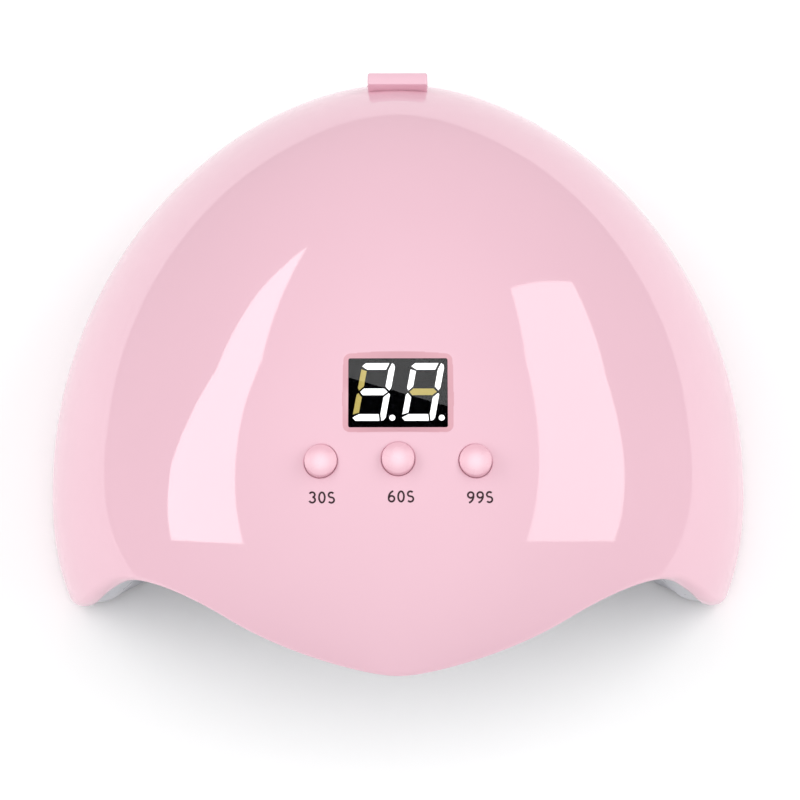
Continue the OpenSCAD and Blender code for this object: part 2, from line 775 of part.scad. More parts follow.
module led_leads(side) {
    spot = side == "left" ? connectors[1] : side == "right" ? connectors[2] : side == "rear" ? connectors[3] : connectors[4];
    end = panel_point(spot[0], spot[1], plug_level + plug_in);
    color([0.85, 0.85, 0.80]) {
        if (side == "right") lead_pair([70.6, mid_y + 24, 26], end, [6, 0, 14], [6, 0, -14], 0.6, 0.8);
        if (side == "left") lead_pair([-70.6, mid_y + 24, 26], end, [-6, 0, 14], [-6, 0, -14], 0.6, 0.8);
        if (side == "top") lead_pair([0, mid_y + 26, 46.9], end, [0, 0, 9], [0, 0, -6], 0.6, 0.8);
        if (side == "rear") lead_pair([-18, mid_y + 92, 20], end, [0, 2.5, 46], [0, 12, -15], 0.6, 0.8);
    }
}

module sensor_leads() {
    color([0.35, 0.35, 0.38]) lead_pair(
        [0, mid_y + sensor_origin[1] - 2.5, sensor_origin[2] + 1.85],
        panel_point(-6, -12, board_top - board_t - 0.7), [0, -2, 6], [0, 0, -5], 0.6, 0.8
    );
}

// ---------- nodes ----------

top_cover();
inner_liner();
display_window();
display_module();
control_board();
mcu_chip();
capacitor();
drive_transistors();
inductor();
board_connectors();
board_resistors();
board_screws();
switch_body(-1);  // switch_body_30s
switch_body(0);  // switch_body_60s
switch_body(1);  // switch_body_99s
plunger(-1);  // plunger_30s
plunger(0);  // plunger_60s
plunger(1);  // plunger_99s
button(-1);  // button_30s
button(0);  // button_60s
button(1);  // button_99s
led_board("left");  // led_board_left
led_board("right");  // led_board_right
led_board("top");  // led_board_top
led_board("rear");  // led_board_rear
led_chips("left");  // led_chips_left
led_chips("right");  // led_chips_right
led_chips("top");  // led_chips_top
led_chips("rear");  // led_chips_rear
led_lenses("left");  // led_lenses_left
led_lenses("right");  // led_lenses_right
led_lenses("top");  // led_lenses_top
led_lenses("rear");  // led_lenses_rear
led_board_screws();
sensor_board();
ir_emitter();
ir_receiver();
jack_body();
jack_pin();
jack_tags();
jack_lead_red();
jack_lead_black();
led_leads("left");  // led_leads_left
led_leads("right");  // led_leads_right
led_leads("top");  // led_leads_top
led_leads("rear");  // led_leads_rear
sensor_leads();
liner_screws();
rubber_feet();
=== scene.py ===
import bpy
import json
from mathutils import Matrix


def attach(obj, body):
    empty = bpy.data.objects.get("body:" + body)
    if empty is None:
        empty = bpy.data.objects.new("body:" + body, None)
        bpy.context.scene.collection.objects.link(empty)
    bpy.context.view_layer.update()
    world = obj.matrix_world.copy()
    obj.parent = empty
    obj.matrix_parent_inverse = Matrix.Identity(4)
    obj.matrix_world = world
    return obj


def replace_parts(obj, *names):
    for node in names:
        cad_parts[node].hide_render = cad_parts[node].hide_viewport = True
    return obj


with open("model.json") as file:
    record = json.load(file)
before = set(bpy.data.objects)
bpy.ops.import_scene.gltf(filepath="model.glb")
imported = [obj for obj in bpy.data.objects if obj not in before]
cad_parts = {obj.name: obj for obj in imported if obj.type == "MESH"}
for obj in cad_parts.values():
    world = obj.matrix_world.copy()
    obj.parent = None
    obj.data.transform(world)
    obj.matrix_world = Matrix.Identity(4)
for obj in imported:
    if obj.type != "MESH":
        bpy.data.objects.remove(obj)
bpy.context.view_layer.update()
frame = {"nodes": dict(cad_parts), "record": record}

import json
import math

import bmesh
import bpy
import numpy as np
from mathutils import Matrix, Vector
from mathutils.geometry import delaunay_2d_cdt

# ---------- sizes in millimetres, y measured from the widest section of the dome ----------

BASE = 1.2
HEIGHT = 77.0
HALF_W = 93.0
WALL = 2.4
BACK_LEN = 109.2
FRONT_LEN = 76.4
CREST_LEN = 92.4
ARCH_N = 1.91
PLAN_BACK_N = 1.95
PLAN_FRONT_N = 2.51
CREST_BACK_N = 2.29
CREST_FRONT_N = 1.95
LIP_Z = 45.3
LIP_Y = -43.4
HEEL_R = 34.4
HEEL_Z = 20.0
LIP_CORNER_R = 15.0
FOOT_TIP_R = 2.6
RIM_FILLET = 1.5

CAVITY_Y = -30.0
CAVITY_LEN = 116.0
CAVITY_HALF_W = 64.0
CAVITY_H = 39.5
CAVITY_ARCH_N = 2.6
CAVITY_PLAN_N = 4.0
LINER_T = 2.0
LINER_EDGE = WALL + 0.3
LINER_RECESS = 0.8
LINER_RIM_W = 6.0
FLANGE_T = 2.2
POSTS = [(-79, -15), (79, -15), (-34, 91), (34, 91)]
FOOT_R = 5.5

PANEL_Y = -10.7
PANEL_TILT = math.radians(7)
WINDOW_W = 24.3
WINDOW_H = 17.7
POCKET_DEPTH = 1.7
BEZEL_W = 1.6
BUTTON_X = {"30s": -18.8, "60s": 0.0, "99s": 18.8}
BUTTON_Y = -17.0
BUTTON_R = 4.0
BUTTON_GAP = 0.06
BUTTON_PROUD = 2.3
BUTTON_FOOT = -7.2
FLANGE_R = 5
FLANGE_STEP = 0.5
STEM_R = 1.6
LABEL_V = -26.0
LABEL_SHIFT = 0.7
LABEL_H = 2.8
LABEL_SPREAD = 1.02
VIEW_LEAN = 0.306  # how far a point off the panel seems to move along it, seen from the front

BLOCK_HALF_W = 8.05
BLOCK_FRONT = 91.1
BLOCK_BACK = 94.8
BLOCK_TOP = 51.6
RECESS_BASE = 38.6
JACK_Z = 43.8
JACK_HOLE_R = 3.2

LED_SIDE = ((66.5, 10, 21), 20, [(-30, 0), (-15, 0), (0, 0), (15, 0), (30, 0)])
LED_TOP = ((0, 16, 44.6), [(-16, -24), (16, -24), (-16, 0), (16, 0), (-16, 24), (16, 24)])
LED_REAR = ((0, 89.5, 16), [(-14, 0), (14, 0)])
LENS_HOLE_R = 3.9
SENSOR_X = 5
SENSOR_Y = -23.5
SENSOR_HOLE_R = 1.8


# ---------- shape of the dome ----------

def rise(u, n):
    u = min(1.0, max(0.0, u))
    return (1 - u ** n) ** (1 / n)


def plan_half(y, d=0.0):
    if y < 0:
        return (HALF_W - d) * rise(-y / (FRONT_LEN - d), PLAN_FRONT_N)
    return (HALF_W - d) * rise(y / (BACK_LEN - d), PLAN_BACK_N)


def crest(y, d=0.0):
    full = HEIGHT - d - BASE
    if y < 0:
        return BASE + full * rise(-y / (CREST_LEN - d), CREST_FRONT_N)
    return BASE + full * rise(y / (BACK_LEN - d), CREST_BACK_N)


def skin_z(x, y, d=0.0):
    half = plan_half(y, d)
    return BASE + (crest(y, d) - BASE) * rise(abs(x) / half, ARCH_N) if half > 0 else BASE


def skin_x(y, z, d=0.0):
    top = crest(y, d)
    return plan_half(y, d) * rise((z - BASE) / (top - BASE), ARCH_N) if top > BASE else 0.0


VISOR_REACH = CREST_LEN * rise((LIP_Z - BASE) / (HEIGHT - BASE), CREST_FRONT_N)
MID_Y = (VISOR_REACH - BACK_LEN) / 2
PANEL_Z = skin_z(0, PANEL_Y)


def metres(p):
    return Vector((p[0], p[1] + MID_Y, p[2])) / 1000


def skin_level(x, y, z):
    half = max(1e-6, plan_half(y))
    top = max(1e-6, crest(y) - BASE)
    return (abs(x) / half) ** ARCH_N + (max(0.0, z - BASE) / top) ** ARCH_N


def skin_normal(p):
    x, y, z = p
    y = min(BACK_LEN * 0.9998, max(-FRONT_LEN * 0.9998, y))
    h = 1e-3
    low, high = max(-FRONT_LEN * 0.9999, y - h), min(BACK_LEN * 0.9999, y + h)
    across = skin_level(x + h, y, z) - skin_level(x - h, y, z)
    along = (skin_level(x, high, z) - skin_level(x, low, z)) * 2 * h / (high - low)
    above = skin_level(x, y, z + h) - skin_level(x, y, z - h) if z > BASE + h else 0.0
    return Vector((across, along, above)).normalized()


def on_panel(x, v, w):
    """A point given over the control panel's own plane."""
    return (
        x,
        PANEL_Y + v * math.cos(PANEL_TILT) - w * math.sin(PANEL_TILT),
        PANEL_Z + v * math.sin(PANEL_TILT) + w * math.cos(PANEL_TILT),
    )


def panel_skin(x, v):
    w = 0.0
    for _ in range(8):
        p = on_panel(x, v, w)
        w += (skin_z(p[0], p[1]) - p[2]) * math.cos(PANEL_TILT)
    return w


# ---------- chart of the skin, used to mesh it around its openings ----------

def to_chart(p):
    x, y, z = p
    half, top = plan_half(y), crest(y) - BASE
    across = (min(1.0, abs(x) / half) if half > 1e-9 else 1.0) ** (ARCH_N / 2)
    above = (min(1.0, max(0.0, z - BASE) / top) if top > 1e-9 else 0.0) ** (ARCH_N / 2)
    turn = math.copysign(math.atan2(across, above), x)
    reach = -CREST_LEN if y < 0 else BACK_LEN
    return turn * half, reach * math.asin(min(1.0, y / reach))


def from_chart(u, v):
    y = -CREST_LEN * math.sin(-v / CREST_LEN) if v < 0 else BACK_LEN * math.sin(v / BACK_LEN)
    half = plan_half(y)
    turn = u / half
    x = math.copysign(half * abs(math.sin(turn)) ** (2 / ARCH_N), turn)
    z = BASE + (crest(y) - BASE) * max(0.0, math.cos(turn)) ** (2 / ARCH_N)
    return x, y, z


def inside(points, loop):
    x, y = points[:, 0][:, None], points[:, 1][:, None]
    a = np.array(loop)
    b = np.roll(a, -1, axis=0)
    spans = (a[:, 1] > y) != (b[:, 1] > y)
    slope = (b[:, 0] - a[:, 0]) / np.where(b[:, 1] == a[:, 1], 1e-12, b[:, 1] - a[:, 1])
    return (spans & (x < a[:, 0] + slope * (y - a[:, 1]))).sum(axis=1) % 2 == 1


def away_from(points, loop, gap):
    a = np.array(loop)
    near = np.array([((a - p) ** 2).sum(axis=1).min() for p in points])
    return near > gap * gap


# ---------- mesh helpers ----------

def arc(cx, cy, r, start, end, steps):
    return [
        (cx + r * math.cos(a), cy + r * math.sin(a))
        for a in [start + (end - start) * k / steps for k in range(steps + 1)]
    ]


def make_object(name, verts, faces, material, body="lamp"):
    mesh = bpy.data.meshes.new(name)
    mesh.from_pydata([tuple(v) for v in verts], [], faces)
    mesh.validate()
    obj = bpy.data.objects.new(name, mesh)
    bpy.context.scene.collection.objects.link(obj)
    mesh.materials.append(material)
    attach(obj, body)
    return obj


def tidy_mesh(obj, merge=1e-7, angle=35):
    """Joins equal points, turns the faces outwards and smooths the mesh up to an angle."""
    bm = bmesh.new()
    bm.from_mesh(obj.data)
    bmesh.ops.remove_doubles(bm, verts=bm.verts, dist=merge)
    bmesh.ops.recalc_face_normals(bm, faces=bm.faces)
    bm.to_mesh(obj.data)
    bm.free()
    obj.data.polygons.foreach_set("use_smooth", [True] * len(obj.data.polygons))
    if angle < 180:
        obj.data.set_sharp_from_angle(angle=math.radians(angle))
    return obj


def grid_faces(rows, cols, closed=False):
    width = cols if closed else cols - 1
    return [
        (i * cols + j, i * cols + (j + 1) % cols, (i + 1) * cols + (j + 1) % cols, (i + 1) * cols + j)
        for i in range(rows - 1)
        for j in range(width)
    ]


def lathe(profile, steps):
    """Points and faces of a profile of (radius, height) turned round the z axis."""
    verts = [
        (r * math.cos(2 * math.pi * k / steps), r * math.sin(2 * math.pi * k / steps), z)
        for r, z in profile
        for k in range(steps)
    ]
    return verts, grid_faces(len(profile), steps, closed=True)


def rounded(path, r, steps=4):
    """A path of points with every inner corner turned into a short curve."""
    out = [Vector(path[0])]
    for a, b, c in zip(path, path[1:], path[2:]):
        a, b, c = Vector(a), Vector(b), Vector(c)
        into = min(r, (b - a).length * 0.45)
        leave = min(r, (c - b).length * 0.45)
        p, q = b + (a - b).normalized() * into, b + (c - b).normalized() * leave
        for k in range(steps + 1):
            t = k / steps
            out.append(p * (1 - t) ** 2 + b * 2 * t * (1 - t) + q * t * t)
    out.append(Vector(path[-1]))
    return out


# ---------- materials ----------

def new_material(name, color, rough, metal=0.0, coat=0.0, ior=1.46):
    mat = bpy.data.materials.new(name)
    mat.use_nodes = True
    shader = mat.node_tree.nodes["Principled BSDF"]
    shader.inputs["Base Color"].default_value = (*color, 1)
    shader.inputs["Roughness"].default_value = rough
    shader.inputs["Metallic"].default_value = metal
    shader.inputs["Coat Weight"].default_value = coat
    shader.inputs["IOR"].default_value = ior
    return mat, shader


def add_noise(mat, shader, scale, low, high, bump=0.0, bump_scale=None, stretch=(1, 1, 1), distance=0.0002):
    """Roughness that varies a little between low and high, with a fine bump."""
    tree = mat.node_tree
    coord = tree.nodes.new("ShaderNodeTexCoord")
    place = tree.nodes.new("ShaderNodeMapping")
    place.inputs["Scale"].default_value = stretch
    tree.links.new(coord.outputs["Object"], place.inputs["Vector"])
    noise = tree.nodes.new("ShaderNodeTexNoise")
    noise.inputs["Scale"].default_value = scale
    noise.inputs["Detail"].default_value = 4
    tree.links.new(place.outputs["Vector"], noise.inputs["Vector"])
    spread = tree.nodes.new("ShaderNodeMapRange")
    spread.inputs["To Min"].default_value = low
    spread.inputs["To Max"].default_value = high
    tree.links.new(noise.outputs["Fac"], spread.inputs["Value"])
    tree.links.new(spread.outputs["Result"], shader.inputs["Roughness"])
    if bump:
        grain = tree.nodes.new("ShaderNodeTexNoise")
        grain.inputs["Scale"].default_value = bump_scale or scale
        grain.inputs["Detail"].default_value = 3
        tree.links.new(place.outputs["Vector"], grain.inputs["Vector"])
        relief = tree.nodes.new("ShaderNodeBump")
        relief.inputs["Strength"].default_value = bump
        relief.inputs["Distance"].default_value = distance
        tree.links.new(grain.outputs["Fac"], relief.inputs["Height"])
        tree.links.new(relief.outputs["Normal"], shader.inputs["Normal"])
    return mat


def add_tint(mat, shader, color_a, color_b, scale):
    """A base colour that drifts a little between two tones."""
    tree = mat.node_tree
    coord = tree.nodes.new("ShaderNodeTexCoord")
    noise = tree.nodes.new("ShaderNodeTexNoise")
    noise.inputs["Scale"].default_value = scale
    noise.inputs["Detail"].default_value = 2
    tree.links.new(coord.outputs["Object"], noise.inputs["Vector"])
    ramp = tree.nodes.new("ShaderNodeValToRGB")
    ramp.color_ramp.elements[0].color = (*color_a, 1)
    ramp.color_ramp.elements[0].position = 0.3
    ramp.color_ramp.elements[1].color = (*color_b, 1)
    ramp.color_ramp.elements[1].position = 0.7
    tree.links.new(noise.outputs["Fac"], ramp.inputs["Fac"])
    tree.links.new(ramp.outputs["Color"], shader.inputs["Base Color"])


def cover_plastic(name, color, low=0.03, high=0.06):
    mat, shader = new_material(name, color, low, ior=1.6)
    shade = tuple(c * 0.985 for c in color)
    add_tint(mat, shader, shade, color, 25)
    return add_noise(mat, shader, 120, low, high, 0.015, 700, distance=0.00003)


def liner_plastic():
    mat, shader = new_material("satin_grey_plastic", (0.50, 0.50, 0.54), 0.3)
    add_tint(mat, shader, (0.49, 0.49, 0.53), (0.52, 0.52, 0.56), 30)
    return add_noise(mat, shader, 220, 0.24, 0.34, 0.05, 1500, distance=0.0001)


def plain(name, color, low, high, scale=300, bump=0.05, metal=0.0, stretch=(1, 1, 1)):
    mat, shader = new_material(name, color, (low + high) / 2, metal)
    dark = tuple(c * 0.93 for c in color)
    add_tint(mat, shader, dark, color, scale / 6)
    return add_noise(mat, shader, scale, low, high, bump, scale * 4, stretch)


def clear_lens():
    mat, shader = new_material("clear_lens", (0.95, 0.96, 1.0), 0.05, ior=1.5)
    shader.inputs["Transmission Weight"].default_value = 0.85
    return add_noise(mat, shader, 400, 0.03, 0.08, 0.02, 900)


def window_glass():
    mat, shader = new_material("smoked_glass", (0.80, 0.80, 0.82), 0.02, ior=1.5)
    shader.inputs["Transmission Weight"].default_value = 1.0
    return add_noise(mat, shader, 150, 0.0, 0.01)


def cap_plastic():
    """Satin pink plastic with a painted highlight: the base colour turns paler towards a spot just below the
    middle of the cap.
    """
    mat, shader = new_material("button_pink_painted_highlight", CAP_PINK, 0.3)
    tree = mat.node_tree
    coord = tree.nodes.new("ShaderNodeTexCoord")
    away = tree.nodes.new("ShaderNodeVectorMath")
    away.operation = "DISTANCE"
    # centre of the painted highlight, a little below the middle of the cap
    away.inputs[1].default_value = (0.5, 0.36, 0.9)
    ramp = tree.nodes.new("ShaderNodeValToRGB")
    ramp.color_ramp.interpolation = "EASE"
    ramp.color_ramp.elements[0].color = (*CAP_HIGHLIGHT_PINK, 1)
    ramp.color_ramp.elements[0].position = 0.06
    ramp.color_ramp.elements[1].color = (*CAP_PINK, 1)
    ramp.color_ramp.elements[1].position = 0.38
    tree.links.new(coord.outputs["Generated"], away.inputs[0])
    tree.links.new(away.outputs["Value"], ramp.inputs["Fac"])
    tree.links.new(ramp.outputs["Color"], shader.inputs["Base Color"])
    return add_noise(mat, shader, 120, 0.22, 0.32, 0.015, 700, distance=0.00003)


def dull_black():
    mat, shader = new_material("display_black", (0.004, 0.004, 0.005), 0.9)
    shader.inputs["Specular IOR Level"].default_value = 0.0
    return add_noise(mat, shader, 600, 0.85, 0.95)


def segment_plastic(name, color, glow, strength):
    mat, shader = new_material(name, color, 0.4)
    # emission: a real glow for lit segments, painted light for unlit ones
    shader.inputs["Emission Color"].default_value = (*glow, 1)
    shader.inputs["Emission Strength"].default_value = strength
    return add_noise(mat, shader, 900, 0.35, 0.45, 0.02, 2000)


# ---------- edges of the cover ----------

def rim_profile(e, d):
    """Side view of the rim from the visor tip round the mouth to the back, moved inwards by e."""
    top = LIP_Z + e
    tip = -(CREST_LEN - d) * rise((top - BASE) / (HEIGHT - d - BASE), CREST_FRONT_N)
    corner_y = LIP_Y - LIP_CORNER_R
    corner_z = LIP_Z - LIP_CORNER_R
    steps = 34
    pts = [(corner_y + (tip - corner_y) * math.cos(math.pi / 2 * k / steps), top)
           for k in range(steps)]
    pts += arc(corner_y, corner_z, LIP_CORNER_R + e, math.pi / 2, 0, 24)
    heel_y = LIP_Y + HEEL_R
    foot_z = BASE + FOOT_TIP_R
    reach = HEEL_R - FOOT_TIP_R
    foot_y = heel_y - math.sqrt(reach ** 2 - (HEEL_Z - foot_z) ** 2)
    turn = math.pi + math.atan2(HEEL_Z - foot_z, heel_y - foot_y)
    pts += [(LIP_Y + e, corner_z + (HEEL_Z - corner_z) * k / 6) for k in range(1, 6)]
    pts += arc(heel_y, HEEL_Z, HEEL_R - e, math.pi, turn, 14)
    pts += arc(foot_y, foot_z, FOOT_TIP_R - e, turn, math.pi * 1.5, 10)[1:]
    level = BASE + e
    back = (BACK_LEN - d) * rise((level - BASE) / (HEIGHT - d - BASE), CREST_BACK_N)
    steps = 110
    pts += [(foot_y + (back - foot_y) * math.sin(math.pi / 2 * k / steps), level)
            for k in range(1, steps + 1)]
    return pts


def rim_loop(e, d):
    """Closed loop of points on the skin d deep, a distance e inside the rim."""
    side = [(skin_x(y, z, d), y, z) for y, z in rim_profile(e, d)]
    side[0] = (0.0, *side[0][1:])
    side[-1] = (0.0, *side[-1][1:])
    return side + [(-x, y, z) for x, y, z in side[-2:0:-1]]


def rim_rows():
    """The fillet, the edge face and the inner skin's edge, from the outer skin inwards."""
    rows = []
    steps = 8
    outer, sharp, inner = rim_loop(RIM_FILLET, 0), rim_loop(0, 0), rim_loop(0, RIM_FILLET)
    for k in range(steps + 1):
        t = k / steps
        rows.append([
            tuple(a * (1 - t) ** 2 + b * 2 * t * (1 - t) + c * t * t for a, b, c in zip(p, q, r))
            for p, q, r in zip(outer, sharp, inner)
        ])
    rows[0] = outer
    rows.append(rim_loop(0, WALL - 0.3))
    rows.append(rim_loop(0.3, WALL))
    return rows


def rectangle_outline(half_w, half_h, r, per_side=14, per_corner=8):
    """Points of a rounded rectangle, each with its outward direction."""
    out = []
    in_w, in_h = half_w - r, half_h - r
    corners = [(in_w, in_h, 0), (-in_w, in_h, 90), (-in_w, -in_h, 180), (in_w, -in_h, 270)]
    for k, (cx, cy, start) in enumerate(corners):
        for j in range(per_corner + 1):
            a = math.radians(start + 90 * j / per_corner)
            out.append((cx + r * math.cos(a), cy + r * math.sin(a), math.cos(a), math.sin(a)))
        nx, ny, _ = corners[(k + 1) % 4]
        a = math.radians(start + 90)
        x0, y0 = cx + r * math.cos(a), cy + r * math.sin(a)
        x1, y1 = nx + r * math.cos(a), ny + r * math.sin(a)
        for j in range(1, per_side):
            t = j / per_side
            out.append((x0 + (x1 - x0) * t, y0 + (y1 - y0) * t, math.cos(a), math.sin(a)))
    return out


def edge_rows(points, fillet, depth):
    """Rows from the skin over a small fillet down a straight wall of the given depth."""
    steps = 6
    rows = [[] for _ in range(steps + 2)]
    for x, v, nx, nv in points:
        w = panel_skin(x, v)
        far_x, far_v = x + nx * fillet, v + nv * fillet
        outer = Vector(on_panel(far_x, far_v, panel_skin(far_x, far_v)))
        sharp = Vector(on_panel(x, v, w))
        inner = Vector(on_panel(x, v, w - fillet))
        for k in range(steps + 1):
            t = k / steps
            rows[k].append(tuple(outer * (1 - t) ** 2 + sharp * 2 * t * (1 - t) + inner * t * t))
        rows[-1].append(on_panel(x, v, w - depth))
    return rows


def window_rows():
    """Rows from the skin over a small fillet down the sloped bezel to the window."""
    fillet, steps = 0.4, 6
    rows = [[] for _ in range(steps + 2)]
    for x, v, nx, nv in rectangle_outline(WINDOW_W / 2, WINDOW_H / 2, 0.5):
        def on_skin(g):
            return Vector(on_panel(x + nx * g, v + nv * g, panel_skin(x + nx * g, v + nv * g)))
        low = Vector(on_panel(x, v, -POCKET_DEPTH))
        outer, sharp = on_skin(BEZEL_W + fillet), on_skin(BEZEL_W)
        inner = sharp + (low - sharp).normalized() * fillet
        for k in range(steps + 1):
            t = k / steps
            rows[k].append(tuple(outer * (1 - t) ** 2 + sharp * 2 * t * (1 - t) + inner * t * t))
        rows[-1].append(tuple(low))
    return rows


def button_rows(x):
    r = BUTTON_R + BUTTON_GAP
    outline = [
        (x + r * math.cos(a), BUTTON_Y + r * math.sin(a), math.cos(a), math.sin(a))
        for a in [2 * math.pi * k / 48 for k in range(48)]
    ]
    return edge_rows(outline, 0.4, WALL)


def inlet_rows():
    """The notch in the back of the skin round the inlet block."""
    low_y = BLOCK_BACK - 1.6
    high_y = BACK_LEN * rise((RECESS_BASE - BASE) / (HEIGHT - BASE), CREST_BACK_N)
    grow = 0.3
    outline = []
    for k in range(12):
        outline.append((-BLOCK_HALF_W, low_y + (high_y - low_y) * k / 12))
    for k in range(16):
        outline.append((-BLOCK_HALF_W + 2 * BLOCK_HALF_W * k / 16, high_y))
    for k in range(12):
        outline.append((BLOCK_HALF_W, high_y + (low_y - high_y) * k / 12))
    for k in range(16):
        outline.append((BLOCK_HALF_W - 2 * BLOCK_HALF_W * k / 16, low_y))
    mid = (low_y + high_y) / 2
    rows = [[], [], []]
    for x, y in outline:
        out_x = x + math.copysign(grow, x) if abs(x) > BLOCK_HALF_W - 0.01 else x
        out_y = y + grow if y > mid + (high_y - mid) * 0.98 else y
        level = skin_z(x, y) if y < high_y else RECESS_BASE
        rows[0].append((out_x, out_y, skin_z(out_x, out_y)))
        rows[1].append((x, y - 0.15, level - 0.15))
        rows[2].append((x, low_y, max(RECESS_BASE, min(level, BLOCK_TOP - 3))))
    return rows


# ---------- the cover ----------

PINK = (0.78, 0.49, 0.575)
# darker pink painted on the display pocket's inner walls as shade
SHADED_POCKET_PINK = (0.68, 0.36, 0.42)
CAP_PINK = (0.78, 0.45, 0.53)
# paler pink painted into the caps as a highlight
CAP_HIGHLIGHT_PINK = (0.90, 0.64, 0.72)


def add_rows(verts, faces, rows, first=None):
    """Adds closed rows of points below one another. The first row may already be in verts."""
    count = len(rows[0])
    starts = []
    for k, row in enumerate(rows):
        if k == 0 and first is not None:
            starts.append(first)
            continue
        starts.append(list(range(len(verts), len(verts) + count)))
        verts.extend(row)
    for a, b in zip(starts, starts[1:]):
        for j in range(count):
            n = (j + 1) % count
            faces.append((a[j], a[n], b[n], b[j]))


def add_inner_skin(verts, faces, edge):
    """Adds the cover's inner skin, left out behind the panel and behind the inlet."""
    half = len(edge) // 2
    steps = 24
    first_row = len(verts)
    for _, y, z in edge[:half + 1]:
        top = skin_z(0, y, WALL)
        start = math.asin(min(1.0, max(0.0, (z - BASE) / max(1e-6, top - BASE)) ** (ARCH_N / 2)))
        for k in range(steps + 1):
            a = start + (math.pi - 2 * start) * k / steps
            x = plan_half(y, WALL) * math.copysign(abs(math.cos(a)) ** (2 / ARCH_N), math.cos(a))
            verts.append((x, y, BASE + (top - BASE) * max(0.0, math.sin(a)) ** (2 / ARCH_N)))
    for f in grid_faces(half + 1, steps + 1):
        x, y, z = (sum(verts[first_row + i][axis] for i in f) / 4 for axis in range(3))
        by_panel = abs(x) < 32 and -38 < y < 12 and z > 50
        by_inlet = abs(x) < 12 and y > 80 and z > 30
        if not by_panel and not by_inlet:
            faces.append(tuple(first_row + i for i in f))


def build_cover(mat, bezel):
    """The dome: the outer skin meshed round its openings, their edges, the rim and the inner skin."""
    rim = rim_rows()
    openings = [window_rows(), *[button_rows(x) for x in BUTTON_X.values()], inlet_rows()]
    loops = [rim[0], *[rows[0] for rows in openings]]
    charts = [[to_chart(p) for p in loop] for loop in loops]
    step = 1.9
    us = np.arange(-150, 150, step)
    vs = np.arange(-115, 175, step * 0.87)
    grid = np.array([(u + (0.5 * step if k % 2 else 0), v) for k, v in enumerate(vs) for u in us])
    grid = grid[inside(grid, charts[0])]
    for chart in charts[1:]:
        grid = grid[~inside(grid, chart)]
    for chart in charts:
        grid = grid[away_from(grid, chart, step * 0.55)]
    flat = [Vector(c) for chart in charts for c in chart] + [Vector((float(a), float(b))) for a, b in grid]
    places = [p for loop in loops for p in loop] + [from_chart(a, b) for a, b in grid]
    edges, start, spans = [], 0, []
    for loop in loops:
        n = len(loop)
        edges += [(start + k, start + (k + 1) % n) for k in range(n)]
        spans.append(range(start, start + n))
        start += n
    out_verts, _, out_faces, origins, _, _ = delaunay_2d_cdt(flat, edges, [], 0, 1e-6)
    verts = [places[o[0]] if o else from_chart(*out_verts[k]) for k, o in enumerate(origins)]
    index = {i: k for k, o in enumerate(origins) for i in o}
    middles = np.array([np.mean([out_verts[i] for i in f], axis=0) for f in out_faces])
    good = inside(middles, charts[0])
    for chart in charts[1:]:
        good &= ~inside(middles, chart)
    faces = [tuple(f) for f, g in zip(out_faces, good) if g]
    skin_count = len(verts)
    add_rows(verts, faces, rim, [index[i] for i in spans[0]])
    for rows, span in zip(openings, spans[1:]):
        add_rows(verts, faces, rows, [index[i] for i in span])
    add_inner_skin(verts, faces, rim[-1])
    obj = make_object("shell_cover", [metres(p) for p in verts], faces, mat)
    mesh = obj.data
    mesh.materials.append(bezel)
    normals = {}
    for k in range(skin_count):
        p = metres(verts[k])
        normals[tuple(round(c, 6) for c in p)] = skin_normal(verts[k])
    tidy_mesh(obj, 2e-7, 180)
    bm = bmesh.new()
    bm.from_mesh(mesh)
    bm.normal_update()
    if max(bm.verts, key=lambda v: v.co.z).normal.z <= 0:
        bmesh.ops.reverse_faces(bm, faces=bm.faces)
        bm.normal_update()
    bm.to_mesh(mesh)
    custom = [tuple(normals.get(tuple(round(c, 6) for c in v.co), v.normal)) for v in bm.verts]
    bm.free()
    # faces sunk below the skin round the window take the darker pink, a painted shade on the pocket walls
    for face in mesh.polygons:
        x, y, z = face.center * 1000
        depth = (PANEL_Z - z) * math.cos(PANEL_TILT) + (y - MID_Y - PANEL_Y) * math.sin(PANEL_TILT)
        v = (y - MID_Y - PANEL_Y) * math.cos(PANEL_TILT) + (z - PANEL_Z) * math.sin(PANEL_TILT)
        skin_gap = skin_z(x, y - MID_Y) - z
        if abs(x) < 15 and abs(v) < 12 and skin_gap > 0.12 and depth < POCKET_DEPTH + 0.1:
            face.material_index = 1
    mesh.normals_split_custom_set_from_vertices(custom)
    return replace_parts(obj, "top_cover")


def build_inlet(mat):
    """The raised block round the power inlet, with its round hole."""
    r = 0.7
    outline = rectangle_outline(BLOCK_HALF_W, (BLOCK_TOP - RECESS_BASE) / 2 + 2, r, 10, 6)
    centre = (BLOCK_TOP + RECESS_BASE) / 2 - 2
    verts, faces = [], []
    rows = []
    for depth, shrink in [(BLOCK_FRONT, 0.5), (BLOCK_FRONT + 0.15, 0.15), (BLOCK_FRONT + 0.5, 0.0),
                          (BLOCK_BACK - 0.6, 0.0), (BLOCK_BACK - 0.25, 0.1), (BLOCK_BACK - 0.06, 0.3),
                          (BLOCK_BACK, 0.6)]:
        rows.append([(x - nx * shrink, depth, centre + z - nz * shrink) for x, z, nx, nz in outline])
    add_rows(verts, faces, rows)
    faces.append(tuple(range(len(outline))))
    count = len(outline)
    ring = []
    for x, z, _, _ in outline:
        a = math.atan2(centre + z - JACK_Z, x)
        ring.append(a)
    face_rows = [rows[-1]]
    for radius, depth in [(JACK_HOLE_R + 0.3, BLOCK_BACK), (JACK_HOLE_R + 0.08, BLOCK_BACK - 0.06),
                          (JACK_HOLE_R, BLOCK_BACK - 0.3), (JACK_HOLE_R, BLOCK_BACK - 2.0)]:
        face_rows.append([(radius * math.cos(a), depth, JACK_Z + radius * math.sin(a)) for a in ring])
    add_rows(verts, faces, face_rows, list(range(6 * count, 7 * count)))
    obj = make_object("shell_inlet_block", [metres(p) for p in verts], faces, mat)
    return tidy_mesh(obj, 1e-7, 40)


# ---------- the liner ----------

